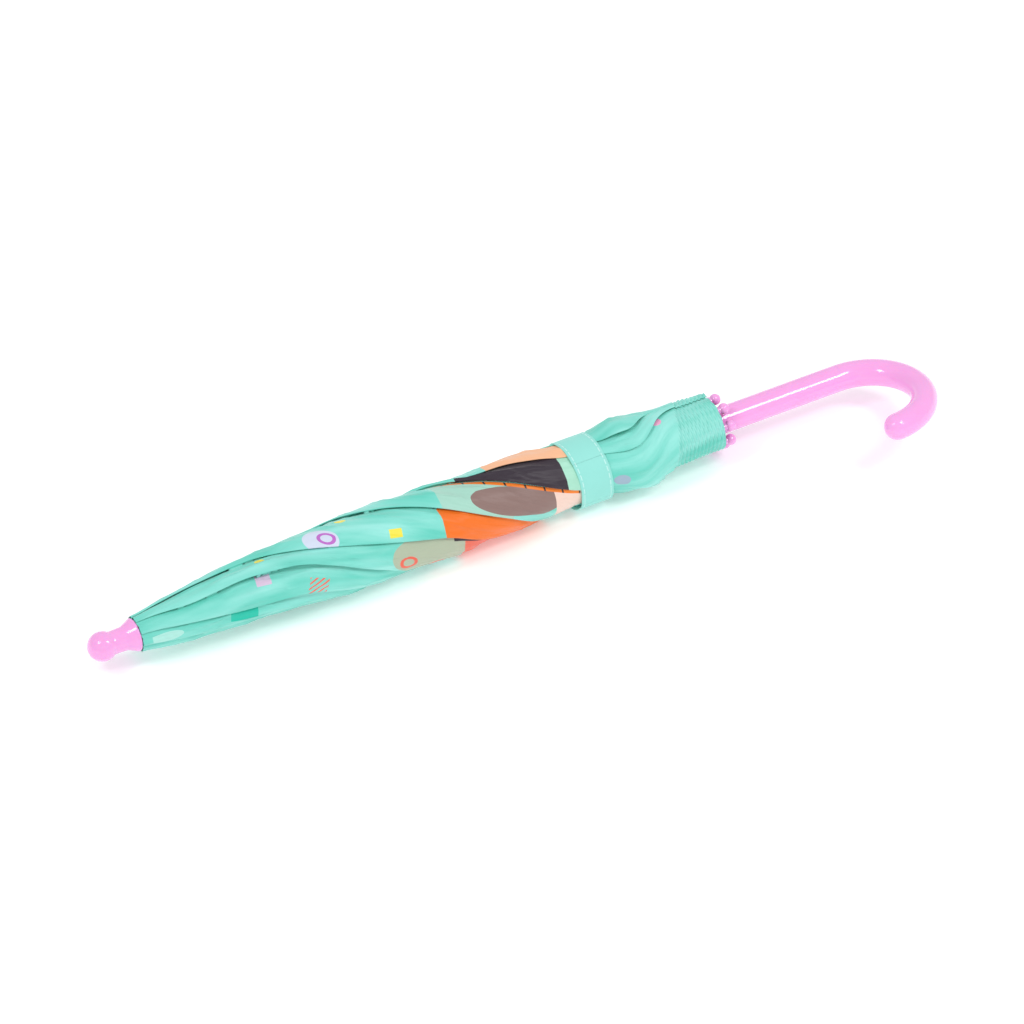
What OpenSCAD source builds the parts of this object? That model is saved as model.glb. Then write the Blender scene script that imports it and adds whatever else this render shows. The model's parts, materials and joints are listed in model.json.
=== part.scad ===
// Child's stick umbrella with eight ribs, rolled up, strapped and lying on a table.
// The umbrella's own axes: x runs along the shaft from the ferrule to the handle,
// z points up and y points away from the hook's side.  x = 0 is the notch, where the
// ribs hinge.  An azimuth is counted round x from the top towards the hook's side.

/* [Pose] */
// Upward slope of the shaft from ferrule to handle, degrees
shaft_slope = 0.2; // [0:0.1:4]
// How far the hook is rolled up from lying level, degrees
hook_roll = 11.3; // [-10:0.1:20]

/* [Shaft] */
// Outside diameter of the steel shaft
shaft_d = 8; // [7.6:0.1:8]
// Wall of the steel shaft
shaft_wall = 0.6; // [0.4:0.1:0.8]

/* [Ferrule] */
// Diameter of the ball at the end
ball_d = 21; // [18:0.5:24]
// Distance from the ball's centre to the notch
ball_to_notch = 32; // [31:0.5:36]
// Diameter of the neck behind the ball
neck_d = 16.8; // [13:0.2:17]
// Diameter of the collar over the cloth
collar_d = 23.8; // [22:0.2:26]

/* [Handle] */
// Diameter of the handle tube
handle_d = 19; // [17:0.5:21]
// Where the handle tube starts
handle_start = 433; // [432:1:436]
// Where the hook starts to bend
bend_start = 542; // [500:0.1:560]
// Radius of the hook to the middle of the tube
hook_r = 40.6; // [36:0.1:50]
// Angle that the hook turns through, degrees
hook_angle = 177; // [150:1:190]

/* [Ribs] */
// Azimuth of the first rib, degrees
first_rib = 18; // [0:1:44]
// Length of a rib from its pivot to the middle of its tip ball
rib_length = 448; // [444:1:452]
// Distance from the rib's pivot to the stretcher's pivot, and the stretcher's length
link_length = 200; // [198:0.5:202]
// Radius of the circle that the tip balls lie on when closed
tip_circle_r = 16.2; // [16:0.1:16.5]
// Swing of the ribs from closed to open, degrees
open_swing = 66.5; // [60:0.5:68]
// Diameter of the tip balls
tip_ball_d = 8; // [6:0.5:9]
// Diameter of the tip caps
tip_cap_d = 5; // [4.4:0.1:5.2]

/* [Strap] */
// Where the strap's edge nearer the ferrule lies
strap_x = 324; // [322:1:326]
// Width of the strap
strap_w = 25; // [20:1:26]
// Thickness of the strap
strap_t = 1; // [0.6:0.1:1.1]

/* [Canopy] */
// Thickness of the rolled cloth
roll_t = 2.4; // [1:0.1:2.5]

/* [Hidden] */
rib_count = 8;
rib_pitch = 360 / rib_count;

pink = "#fbaef5";
steel = "#c9ccd1";
white = "#f2f0f2";
turquoise = "#86e2d5";

// Fits: a pressed fit that only just clears and a running fit
pressed = 0.02;
running = 0.05;

// Pivot circle of the notch and the runner, with its wire
pivot_r = 6;
wire_r = 0.5;
eye_hole_r = 0.6;
eye_r = 1.5;
plate_t = 1.4;
slot_w = 1.7;
hub_r = 7.2;
groove_w = 2 * (wire_r + 0.04);
bar_start = 4.5;

// Rib and stretcher channels
rib_w = 2.8;
rib_h = 2.2;
rib_offset = 2.6;
stretcher_w = 2.2;
stretcher_h = 1.8;
groove_in_bar = 0.9;

// Clip and rivet where a stretcher meets its rib
clip_l = 6;
clip_wall = 0.5;
rivet_r = 0.6;
rivet_head_r = 1.1;
rivet_head_t = 0.4;

closed_angle = asin((tip_circle_r - pivot_r - rib_offset) / rib_length);
runner_x = 2 * link_length * cos(closed_angle);
runner_x_open = 2 * link_length * cos(closed_angle + open_swing);

ball_x = -ball_to_notch;
collar_x = -7;
shaft_start = ball_x + 2;
shaft_end = handle_start + 82;
notch_back = -5;
hub_front = 2.5;
washer_t = 1.5;
washer_r = 10;

runner_sleeve_r = 7;
runner_flange_r = 9;
runner_l = 31;
pin_r = 1;
pin_reach = 6.2;
stop_x = runner_x_open - hub_front - pin_r - 0.2;

catch_t = 1.2;
catch_reach = 6.6;
catch_l = 16;
between_ribs = first_rib + rib_pitch / 2;

// Outside radius of the rolled canopy along the shaft, as [x, radius]
roll = [
    [4, 12.3], [11, 14.4], [39, 17.1], [67, 18.8], [96, 20.7], [124, 23.2], [152, 24.8],
    [181, 24.4], [210, 24.5], [252, 23.8], [282, 24.3], [308, 23.1], [320, 21.7], [351, 21.7],
    [366, 25], [384, 23.4], [399, 21.2], [414, 20.2], [436, 19.9]
];
gore_gap = 2;

// Strap: it starts at an azimuth beside the fifth rib and spirals out under its own tab
strap_rib = 5;
strap_start = 128;
strap_span = 87;
strap_in_r = 22.1;
tab_span = 62;
tab_r = 25.05;
pad_t = 0.75;
pad_span = 34;
pad_w = 18;

function rib_azimuth(i) = first_rib + rib_pitch * (i - 1);

// Inside radius of the strap at a turn angle: it stays level, then climbs over the pads
function strap_r(turn) =
    let (climb = max(0, min(1, (turn - 3 * strap_span) / strap_span)))
    strap_in_r + (tab_r - strap_in_r) * climb * climb * (3 - 2 * climb);

module along_x() { rotate([0, 90, 0]) children(); }

// Cylinder along the shaft between two places
module rod(x0, x1, r) { translate([x0, 0, 0]) along_x() cylinder(r = r, h = x1 - x0, $fn = 64); }

// Ring swept round the shaft from a profile of [radius, x]
module turned(profile) { along_x() rotate_extrude($fn = 96) polygon(profile); }

// Sweep of a profile of [radius, x] round the shaft from one azimuth through an angle
module sector(start, angle, profile) {
    rotate([start + 180, 0, 0]) along_x() rotate_extrude(angle = angle, $fn = 96) polygon(profile);
}

// Ring of round wire on the pivot circle
module wire_ring(x) {
    translate([x, 0, 0]) along_x() rotate_extrude($fn = 64) translate([pivot_r, 0])
        circle(r = wire_r, $fn = 24);
}

// Hub slots and the wire groove shared by the notch and the runner; side is the open face
module hub_cuts(x, side) {
    for (i = [1:rib_count]) rotate([rib_azimuth(i), 0, 0])
        translate([x + side * (hub_front - eye_r) / 2, 0, pivot_r + 1.5])
            cube([hub_front + eye_r + 0.6, slot_w, 6.4], center = true);
    difference() {
        rod(x - groove_w / 2, x + groove_w / 2, hub_r + 1);
        rod(x - groove_w, x + groove_w, pivot_r - groove_w / 2);
    }
}

// Frame of one rib: x along the rib from its pivot, z outwards
module on_rib(i) {
    rotate([rib_azimuth(i), 0, 0]) translate([0, 0, pivot_r]) rotate([0, -closed_angle, 0]) children();
}

// Flat eye, drilled across, with an arm that reaches up to a bar from x = 0
module eye_plate(arm) {
    rotate([90, 0, 0]) translate([0, 0, -plate_t / 2]) difference() {
        union() {
            cylinder(r = eye_r, h = plate_t, $fn = 32);
            linear_extrude(plate_t) polygon(arm);
        }
        translate([0, 0, -1]) cylinder(r = eye_hole_r, h = plate_t + 2, $fn = 32);
    }
}

// Channel from x0 to x1, open towards the shaft, its middle at height z
module channel(x0, x1, w, h, z) {
    difference() {
        translate([x0, -w / 2, z - h / 2]) cube([x1 - x0, w, h]);
        translate([x0 - 1, -w / 4, z - h / 2 - 1]) cube([x1 - x0 + 2, w / 2, 1 + groove_in_bar]);
    }
}

module shaft() {
    color(steel) difference() {
        rod(shaft_start, shaft_end, shaft_d / 2);
        rod(shaft_start - 1, shaft_end + 1, shaft_d / 2 - shaft_wall);
        rotate([between_ribs, 0, 0]) translate([stop_x, 0, -shaft_d])
            cylinder(r = pin_r + pressed, h = 2 * shaft_d, $fn = 32);
        catch_slot(lower_catch_x(), -1);
        catch_slot(upper_catch_x(), 1);
    }
}

module ferrule() {
    neck_r = neck_d / 2;
    collar_r = collar_d / 2;
    color(pink) difference() {
        union() {
            translate([ball_x, 0, 0]) along_x() sphere(d = ball_d, $fn = 64);
            turned([
                [0, ball_x], [neck_r, ball_x], [neck_r, ball_x + 9.5], [neck_r + 0.9, ball_x + 12.5],
                [collar_r - 2.2, ball_x + 15.5], [collar_r - 1.4, ball_x + 16.2],
                [collar_r - 0.5, collar_x - 7.4], [collar_r, collar_x - 6.6],
                [collar_r, collar_x - 0.6], [collar_r - 0.6, collar_x], [0, collar_x]
            ]);
        }
        rod(shaft_start - 0.2, collar_x + 1, shaft_d / 2 + pressed);
    }
}

module handle() {
    r = handle_d / 2;
    color(pink) union() {
        difference() {
            rod(handle_start, bend_start, r);
            rod(handle_start - 1, shaft_end + 0.5, shaft_d / 2 + pressed);
        }
        rotate([90 - hook_roll, 0, 0]) translate([bend_start, 0, hook_r]) rotate([90, 0, 0]) {
            rotate([0, 0, -90]) rotate_extrude(angle = hook_angle, $fn = 96)
                translate([hook_r, 0]) circle(r = r, $fn = 48);
            rotate([0, 0, hook_angle - 90]) translate([hook_r, 0, 0]) rotate([-90, 0, 0])
                rotate_extrude($fn = 48) intersection() { circle(r = r, $fn = 64); square(r); }
        }
    }
}

module notch() {
    color(white) difference() {
        turned([
            [shaft_d / 2 + pressed, notch_back], [hub_r - 0.5, notch_back], [hub_r, notch_back + 0.5],
            [hub_r, hub_front], [shaft_d / 2 + pressed, hub_front]
        ]);
        hub_cuts(0, 1);
    }
}

module notch_wire() { color(steel) wire_ring(0); }

module top_washer() {
    color(white) difference() {
        rod(notch_back - washer_t - 0.1, notch_back - 0.1, washer_r);
        rod(notch_back - washer_t - 1, notch_back + 1, shaft_d / 2 + pressed);
    }
}

module stop_pin() {
    color(steel) rotate([between_ribs, 0, 0]) translate([stop_x, 0, -pin_reach])
        cylinder(r = pin_r, h = 2 * pin_reach, $fn = 32);
}

// Steep face of each catch: the lower one holds the runner closed, the upper one open
function lower_catch_x() = runner_x - hub_front - 0.4;
function upper_catch_x() = runner_x_open + runner_l + 0.4;

// Slot in the shaft for a catch whose steep face is at x and whose ramp runs towards side
module catch_slot(x, side) {
    rotate([between_ribs, 0, 0]) translate([x + side * (catch_l / 2), 0, shaft_d / 2])
        cube([catch_l + 0.6, catch_t + 2 * 0.15, 4], center = true);
}

// Sheet-metal catch: a ramp and a steep face outside the shaft, a tail inside it
module catch(x, side) {
    tail = 6;
    color(steel) rotate([between_ribs, 0, 0]) translate([x, catch_t / 2, 0]) rotate([90, 0, 0])
        linear_extrude(catch_t) polygon([
            [-side * tail, 0.8], [-side * tail, 3.1], [0, 3.1], [0, catch_reach - 0.8],
            [side * 0.8, catch_reach], [side * 2.4, catch_reach - 0.3], [side * catch_l, 3.1],
            [side * (catch_l + tail), 3.1], [side * (catch_l + tail), 0.8]
        ]);
}

module lower_catch() { catch(lower_catch_x(), -1); }

module upper_catch() { catch(upper_catch_x(), 1); }

module runner() {
    bore_r = shaft_d / 2 + running;
    x0 = runner_x - hub_front;
    x1 = runner_x + runner_l;
    color(white) difference() {
        turned([
            [bore_r, x0], [hub_r, x0], [hub_r, runner_x + 3], [runner_sleeve_r, runner_x + 3.6],
            [runner_sleeve_r - 0.6, x1 - 8], [runner_sleeve_r, x1 - 3.2], [runner_flange_r, x1 - 2.4],
            [runner_flange_r, x1 - 0.6], [runner_flange_r - 0.6, x1], [bore_r, x1]
        ]);
        hub_cuts(runner_x, -1);
    }
}

module runner_wire() { color(steel) wire_ring(runner_x); }

module rib(i) {
    color(steel) on_rib(i) {
        eye_plate([[0, -eye_r + 0.1], [7, 1.4], [14, 1.6], [14, 3], [bar_start, 3.2], [0, eye_r - 0.1]]);
        channel(bar_start, rib_length - 4, rib_w, rib_h, rib_offset);
    }
}

module tip(i) {
    cap_r = tip_cap_d / 2;
    color(pink) on_rib(i) translate([0, 0, rib_offset]) difference() {
        union() {
            translate([rib_length - 11, 0, 0]) along_x() cylinder(r1 = cap_r - 0.3, r2 = cap_r, h = 1, $fn = 32);
            rod(rib_length - 10, rib_length - 3, cap_r);
            translate([rib_length, 0, 0]) along_x() sphere(d = tip_ball_d, $fn = 48);
        }
        translate([rib_length - 12, -rib_w / 2 - pressed, -rib_h / 2 - pressed])
            cube([8.2, rib_w + 2 * pressed, rib_h + 2 * pressed]);
    }
}

module pivot(i) {
    inside = rib_w / 2 + running;
    top = rib_offset + rib_h / 2 + pressed;
    color(steel) on_rib(i) translate([link_length, 0, 0]) {
        difference() {
            translate([-clip_l / 2, -inside - clip_wall, -eye_r - 0.1])
                cube([clip_l, 2 * (inside + clip_wall), top + clip_wall + eye_r + 0.1]);
            translate([-clip_l, -inside, -clip_l]) cube([2 * clip_l, 2 * inside, clip_l + top]);
            rotate([90, 0, 0]) cylinder(r = rivet_r + pressed, h = 20, center = true, $fn = 32);
        }
        rotate([90, 0, 0]) {
            cylinder(r = rivet_r, h = 2 * (inside + clip_wall + 0.1), center = true, $fn = 32);
            for (side = [-1, 1]) translate([0, 0, side * (inside + clip_wall + pressed + rivet_head_t / 2)])
                cylinder(r = rivet_head_r, h = rivet_head_t, center = true, $fn = 32);
        }
    }
}

module stretcher(i) {
    bar_end = link_length - bar_start;
    color(steel) rotate([rib_azimuth(i), 0, 0])
        translate([link_length * cos(closed_angle), 0, pivot_r + link_length * sin(closed_angle)])
        rotate([0, closed_angle, 0]) difference() {
            union() {
                rotate([90, 0, 0]) cylinder(r = eye_r - 0.1, h = stretcher_w, center = true, $fn = 32);
                channel(0, bar_end, stretcher_w, stretcher_h, 0);
                translate([link_length, 0, 0]) eye_plate([
                    [0, -eye_r + 0.1], [-14, -0.8], [-14, 0.8], [0, eye_r - 0.1]
                ]);
            }
            rotate([90, 0, 0]) cylinder(r = rivet_r + running, h = 9, center = true, $fn = 32);
        }
}

module gore(i) {
    outside = [for (p = roll) [p[1], p[0]]];
    inside = [for (k = [len(roll) - 1:-1:0]) [roll[k][1] - roll_t, roll[k][0]]];
    color(turquoise) sector(rib_azimuth(i) + gore_gap, rib_pitch - 2 * gore_gap, concat(outside, inside));
}

// Closed band between two turn angles, t thick, lift above the strap's inside, w wide
module band(turn0, turn1, lift, t, w) {
    steps = 12;
    turns = [for (n = [0:steps]) turn0 + (turn1 - turn0) * n / steps];
    inner = [for (a = turns) (strap_r(a) + lift) * [cos(a), sin(a)]];
    outer = [for (n = [steps:-1:0]) (strap_r(turns[n]) + lift + t) * [cos(turns[n]), sin(turns[n])]];
    rotate([strap_start + 180, 0, 0]) translate([strap_x + (strap_w - w) / 2, 0, 0]) along_x()
        linear_extrude(w) polygon(concat(inner, outer));
}

module strap(k) {
    color(turquoise) band(strap_span * (k - 1) + 0.4, strap_span * k - 0.4, 0, strap_t, strap_w);
}

module strap_tab() {
    start = 4 * strap_span;
    color(turquoise) band(start + 0.4, start + tab_span, 0, strap_t, strap_w);
}

module hook_pad() {
    end = 4 * strap_span + tab_span - 4;
    color(white) band(end - pad_span, end, -pad_t - pressed, pad_t, pad_w);
}

module loop_pad() {
    end = 4 * strap_span + tab_span - 4 - 360;
    color(white) band(end - pad_span, end, strap_t + pressed, pad_t, pad_w);
}

module laid_down() {
    // The whole umbrella is moved so that its box stands on z = 0, centred on x and y
    translate([-274.8, 32, 24.88]) rotate([0, -shaft_slope, 0]) children();
}

laid_down() {
    shaft();
    handle();
    ferrule();
    notch();
    notch_wire();
    top_washer();
    stop_pin();
    lower_catch();
    upper_catch();
    runner();
    runner_wire();
    for (i = [1:rib_count]) {
        rib(i);
        tip(i);
        pivot(i);
        stretcher(i);
        gore(i);
    }
    for (k = [1:4]) {
        strap(k);
    }
    strap_tab();
    hook_pad();
    loop_pad();
}
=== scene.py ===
"""Looks of a child's stick umbrella, rolled up and strapped, built round its CAD frame."""

import json
import math

import bpy
import numpy as np
from mathutils import Matrix, Vector, noise


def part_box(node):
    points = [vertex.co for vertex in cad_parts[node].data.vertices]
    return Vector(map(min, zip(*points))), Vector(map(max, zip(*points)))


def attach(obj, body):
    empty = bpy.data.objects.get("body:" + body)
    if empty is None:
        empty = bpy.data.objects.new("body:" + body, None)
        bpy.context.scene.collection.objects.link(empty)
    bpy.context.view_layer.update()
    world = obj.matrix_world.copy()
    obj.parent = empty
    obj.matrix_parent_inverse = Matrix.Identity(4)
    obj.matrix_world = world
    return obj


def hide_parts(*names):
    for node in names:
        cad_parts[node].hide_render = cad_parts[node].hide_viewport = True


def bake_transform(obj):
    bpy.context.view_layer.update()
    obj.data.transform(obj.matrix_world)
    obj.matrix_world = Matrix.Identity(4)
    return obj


bl_info = {
    "name": "Child's Stick Umbrella",
    "version": (1, 0, 0),
    "blender": (4, 5, 0),
    "location": "View3D > Sidebar > Umbrella",
    "description": "Builds the canopy, strap, finishes and stage of a rolled child's umbrella",
    "category": "Add Mesh",
}

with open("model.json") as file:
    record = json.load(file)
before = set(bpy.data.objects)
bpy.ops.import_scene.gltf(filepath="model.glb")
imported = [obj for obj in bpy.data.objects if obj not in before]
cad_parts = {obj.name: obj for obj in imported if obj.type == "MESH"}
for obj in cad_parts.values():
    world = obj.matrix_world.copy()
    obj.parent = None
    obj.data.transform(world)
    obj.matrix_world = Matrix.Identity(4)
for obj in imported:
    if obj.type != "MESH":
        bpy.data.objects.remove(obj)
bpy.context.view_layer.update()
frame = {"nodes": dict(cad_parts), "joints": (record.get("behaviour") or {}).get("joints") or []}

MM = 0.001
RIBS = 8
JOINTS = {j["name"]: j for j in frame["joints"]}


def joint_place(name):
    """Rest position of a joint, in metres."""
    return np.array(JOINTS[name]["pos_m"], float)


def unit(v):
    """The vector at length one."""
    return v / np.linalg.norm(v)


# The umbrella's own axes: ALONG runs down the shaft from the notch, UP is azimuth 0 and
# SIDE, towards the hook's side, is azimuth 90.
NOTCH = np.mean([joint_place(f"rib_{i}_swing") for i in range(1, RIBS + 1)], axis=0)
LINKS = np.mean([joint_place(f"stretcher_{i}_fold") for i in range(1, RIBS + 1)], axis=0)
ALONG = unit(LINKS - NOTCH)
SIDE = np.array([0.0, -1.0, 0.0])
UP = unit(np.cross(SIDE, ALONG))
PIVOT_R = float(np.linalg.norm(joint_place("rib_1_swing") - NOTCH))
RIB_OPEN = math.radians(66.5)
# Angle a gore spreads by, and the slope to the shaft of the line it turns about
SPREAD, SPREAD_SLOPE = math.radians(48.448), math.radians(58.5)
CLOSED_SLOPE = math.atan2(
    np.linalg.norm(joint_place("stretcher_1_fold") - LINKS) - PIVOT_R, np.linalg.norm(LINKS - NOTCH)
)


def azimuth_of(point):
    """Azimuth of a point round the shaft, in degrees."""
    d = np.array(point) - NOTCH
    return math.degrees(math.atan2(d @ SIDE, d @ UP)) % 360


FIRST_RIB = azimuth_of(joint_place("rib_1_swing"))
PITCH = 360 / RIBS
HALF_PITCH = math.radians(PITCH / 2)


def place(x, azimuth, radius):
    """Points in the row frame, in metres, from mm along the shaft, degrees and mm."""
    a = np.radians(azimuth)
    x, radius = np.asarray(x, float), np.asarray(radius, float)
    out = (x * MM)[..., None] * ALONG
    out = out + (radius * MM * np.cos(a))[..., None] * UP + (radius * MM * np.sin(a))[..., None] * SIDE
    return NOTCH + out


# ---------------------------------------------------------------------------------------
# Settings
# ---------------------------------------------------------------------------------------


def linear(hex_colour):
    """Linear RGBA from an sRGB hex value."""
    value = hex_colour.lstrip("#")
    srgb = [int(value[i : i + 2], 16) / 255 for i in (0, 2, 4)]
    return tuple(c / 12.92 if c <= 0.04045 else ((c + 0.055) / 1.055) ** 2.4 for c in srgb) + (1.0,)


def colour_prop(name, description, hex_colour):
    """A colour setting with its default given as sRGB hex."""
    return bpy.props.FloatVectorProperty(
        name=name, description=description, subtype="COLOR", size=4, min=0, max=1, default=linear(hex_colour)
    )


def length_prop(name, description, millimetres):
    """A length setting with its default given in millimetres."""
    return bpy.props.FloatProperty(
        name=name, description=description, unit="LENGTH", precision=5, min=0, default=millimetres * MM
    )


class UmbrellaSizes(bpy.types.PropertyGroup):
    """Sizes that shape the rolled cloth and the strap."""

    cloth_end: length_prop("Cloth end", "Where the canopy's hem ends along the shaft", 441)
    row_step: length_prop("Row spacing", "Spacing of the cloth mesh's rows along the shaft", 1.9)
    tuck: length_prop("Pleat tuck", "How far each pleat folds back under its own edge", 5)
    fold_radius: length_prop("Fold radius", "Radius of the cloth at a pleat's edge", 0.42)
    step: length_prop("Pleat step", "How far a pleat's edge stands above the next pleat", 2.3)
    wrinkle: length_prop("Wrinkle height", "Height of the loose wrinkles in the rolled cloth", 1.3)
    strap_width: length_prop("Strap width", "Width of the closing strap", 25)
    strap_thickness: length_prop("Strap thickness", "Thickness of the closing strap", 1)
    seam_inset: length_prop("Stitch inset", "Distance of the stitch lines from the strap's edges", 2.2)


class UmbrellaColours(bpy.types.PropertyGroup):
    """Colours of the umbrella's finishes."""

    pink: colour_prop("Pink plastic", "Moulded ferrule, tips and handle", "#FCA9E9")
    cloth: colour_prop("Cloth", "Ground colour of the canopy", "#7FE3D6")
    strap: colour_prop("Strap cloth", "Plain cloth of the strap", "#9BE8DE")
    pad: colour_prop("Fastener", "Hook-and-loop pads", "#3FE0DC")
    steel: colour_prop("Steel", "Plated shaft, ribs and stretchers", "#C9CCD1")
    white: colour_prop("White plastic", "Moulded notch, washer and runner", "#F2F0F2")
    floor: colour_prop("Floor", "Plain pale floor", "#FCFCFC")


def sizes():
    """The size settings of the scene."""
    return bpy.context.scene.umbrella_sizes


def colours():
    """The colour settings of the scene."""
    return bpy.context.scene.umbrella_colours


# ---------------------------------------------------------------------------------------
# Rolled canopy: each pleat's free edge winds round the shaft and lies on the next pleat
# ---------------------------------------------------------------------------------------

# Outside radius of the roll in mm along the shaft
ROLL_RADIUS = [
    (-7, 11.5), (0, 12.6), (12, 14.4), (39, 17.1), (67, 18.8), (96, 20.7), (124, 23.2), (152, 24.8),
    (181, 24.3), (209, 24.5), (252, 23.6), (281, 24.0), (306, 23.0), (320, 21.8), (352, 21.8), (366, 24.8),
    (384, 23.6), (399, 21.5), (407, 21.3), (413, 21.6), (428, 21.8), (436, 22.0), (445, 22.4),
]
# How far the roll sags towards the side away from the hook, in mm
ROLL_SHIFT = [
    (0, 0), (12, 0), (67, 2.3), (209, 2.3), (252, 1.5), (285, 2.9), (318, 2.2), (354, 2.6), (384, 2.0),
    (445, 1.5),
]
# Azimuth that the roll sags towards
SHIFT_AZIMUTH = -43

# Azimuth of each pleat's free edge along the shaft, in the order that they lie on each other
PLEATS = [
    [(0, -165), (100, -158), (150, -140), (200, -84), (235, -38), (250, -22), (282, -15), (326, 9),
     (348, 26), (369, 41), (384, 30), (395, 4), (402, -14), (445, -20)],
    [(0, -125), (100, -122), (150, -108), (180, -92), (215, -58), (271, 12), (300, 47), (330, 83),
     (360, 108), (384, 128), (445, 135)],
    [(0, -80), (100, -78), (150, -50), (185, -18), (223, 22), (276, 86), (300, 131), (324, 165), (384, 190),
     (445, 190)],
    [(0, -35), (86, -25), (118, 4), (145, 25), (185, 50), (225, 73), (263, 125), (300, 172), (324, 200),
     (384, 222), (445, 225)],
    [(0, 5), (30, 22), (73, 15), (114, 29), (143, 56), (179, 97), (200, 136), (225, 170), (270, 215),
     (324, 240), (445, 250)],
    [(0, 50), (21, 61), (66, 76), (119, 84), (150, 112), (180, 150), (225, 205), (270, 240), (324, 262),
     (445, 275)],
    [(0, 95), (60, 112), (119, 128), (180, 190), (225, 235), (270, 262), (324, 285), (445, 295)],
    [(0, 145), (119, 165), (180, 225), (225, 265), (270, 285), (310, 300), (342, 352), (349, 361),
     (375, 368), (382, 362), (391, 334), (445, 322)],
]
# Least angle between the free edges of two pleats, in degrees
EDGE_GAP = 5
# The pleat that stands off loosely by the ferrule, and the one that ends in a point past the strap
LOOSE_PLEAT, POINTED_PLEAT = 4, 7
# Where the sleeve starts under the collar, and the strap's edges, in mm
ROLL_START = -6.8
STRAP_FROM, STRAP_TO = 323.0, 349.0
# Hems of the layers lie a few mm apart, each a little lower than the one outside it: place of the
# outermost hem, how far it slants and the pitch of the others, in mm
OUTER_HEM, HEM_TILT, HEM_PITCH = 407.0, 9.0, 3.1
# Pleat numbers of the sleeve and of the hidden folds, which the print tells from the pleats, and
# where the hidden ones begin
SLEEVE_PLEAT, HIDDEN_PLEAT, HIDDEN_FROM = 9.0, 20.0, 15.0
# Radius at which the print goes round the roll, in mm, and a place round it with no print, in metres
PRINT_RADIUS, NO_PRINT = 23.5, 0.5


def curve(points, x, soften=9.0):
    """Values of a listed curve at x, with its corners rounded."""
    xs, ys = zip(*points)
    total = np.zeros_like(x)
    offsets = np.linspace(-soften, soften, 9)
    for offset in offsets:
        total += np.interp(x + offset, xs, ys)
    return total / len(offsets)


def smooth(t):
    """Smoothstep of t held between 0 and 1."""
    t = np.clip(t, 0, 1)
    return t * t * (3 - 2 * t)


def pleat_edges(x):
    """Azimuths of the free edges at x: one row for each pleat, rising, with room between them."""
    edges = np.array([curve(p, x) for p in PLEATS])
    for _ in range(4):
        for g in range(RIBS):
            below = edges[g - 1] - (360 if g == 0 else 0)
            edges[g] = np.maximum(edges[g], below + EDGE_GAP)
    return edges


def sag(azimuth):
    """How much of the roll's sideways shift shows at an azimuth; none where it lies on the floor."""
    turns = [-180, -137, -90, -43, 47, 137, 180]
    share = [0.0, 0.2, 0.75, 1.0, 0.0, -1.0, 0.0]
    wrapped = (np.asarray(azimuth) + 180) % 360 - 180
    return np.interp(wrapped, turns, share)


def step_height(x, pleat):
    """How far a pleat's free edge stands above the pleat below it, in mm: least under the strap."""
    step = sizes().step / MM
    share = [0.5, 1.0, 1.0, 1.0, 0.45, 0.45, 1, 1, 0.6]
    height = np.interp(x, [0, 25, 90, 305, 320, 352, 366, 400, 430], share) * step
    if pleat == LOOSE_PLEAT:
        height = height + 3.0 * np.exp(-(((x - 108) / 34) ** 2))
    if pleat == POINTED_PLEAT:
        height = height * np.interp(x, [384, 394], [1, 0.25]) + 1.7 * np.exp(-(((x - 370) / 13) ** 2))
    return height


def wrinkles(x, across, pleat):
    """Loose folds that run along the pleats, in mm, fading at the ends and under the strap; across
    is the share of the way over the pleat."""
    out = np.zeros(len(x))
    for k, xk in enumerate(x):
        long = noise.noise(Vector((xk * 0.013, across * 1.9 + pleat * 7.3, 3.1)))
        fine = noise.noise(Vector((xk * 0.045 + 9, across * 3.6 + pleat * 5.1, xk * 0.01)))
        crease = 1 - 4 * abs(noise.noise(Vector((xk * 0.021 + 4, across * 2.3 + pleat * 3.7, 8.2))))
        out[k] = 0.9 * long + 0.5 * fine + 0.7 * max(crease, 0) ** 2
    loose = np.interp(x, [0, 30, 60, 300, 322, 352, 366, 441], [0.3, 0.7, 1, 1, 0.25, 0.25, 1, 0.6])
    return out * loose * sizes().wrinkle / MM * 1.4


def gathers(x, azimuth):
    """Small creases that spread from the collar and from each edge of the strap, in mm."""
    turn = np.radians(azimuth)
    from_strap = np.minimum(np.abs(x - STRAP_FROM), np.abs(x - STRAP_TO))
    held = ((x > STRAP_FROM) & (x < STRAP_TO)) * 1.0
    near = np.exp(-from_strap / 11.0) * (1 - held)
    wave = np.sin(turn * 13 + 0.05 * x) + 0.6 * np.sin(turn * 22 - 0.08 * x + 1.3)
    collar = np.exp(-np.maximum(x + 6, 0) / 16.0)
    return 0.5 * near * wave + 0.3 * collar * np.sin(turn * 17 + 0.4)


def hem_place(x, azimuth):
    """Distance past the outermost layer's hem, in mm; its lowest corner turns back."""
    waver = 1.1 * np.sin(np.radians(azimuth * 3 + 20)) + 0.7 * np.sin(np.radians(azimuth * 5 + 110))
    turn = np.asarray(azimuth) % 360
    corner = 12.0 * smooth((turn - 96) / 34) * (1 - smooth((turn - 150) / 30))
    return x - HEM_TILT * np.cos(np.radians(azimuth - SHIFT_AZIMUTH)) + waver + corner - OUTER_HEM


def painted_hem_shade_at(x, azimuth):
    """Painted light and shade past the hems: 1 for painted shade in the crease below each hem, -1 for a
    painted highlight on its turned edge.
    """
    at = hem_place(x, azimuth)
    share = at / HEM_PITCH - np.floor(at / HEM_PITCH)
    line = np.where(share < 0.34, 1 - share / 0.34, 0) - np.where(share > 0.62, (share - 0.62) / 0.38, 0)
    return np.where(at > -0.3 * HEM_PITCH, line, 0.0)


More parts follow.
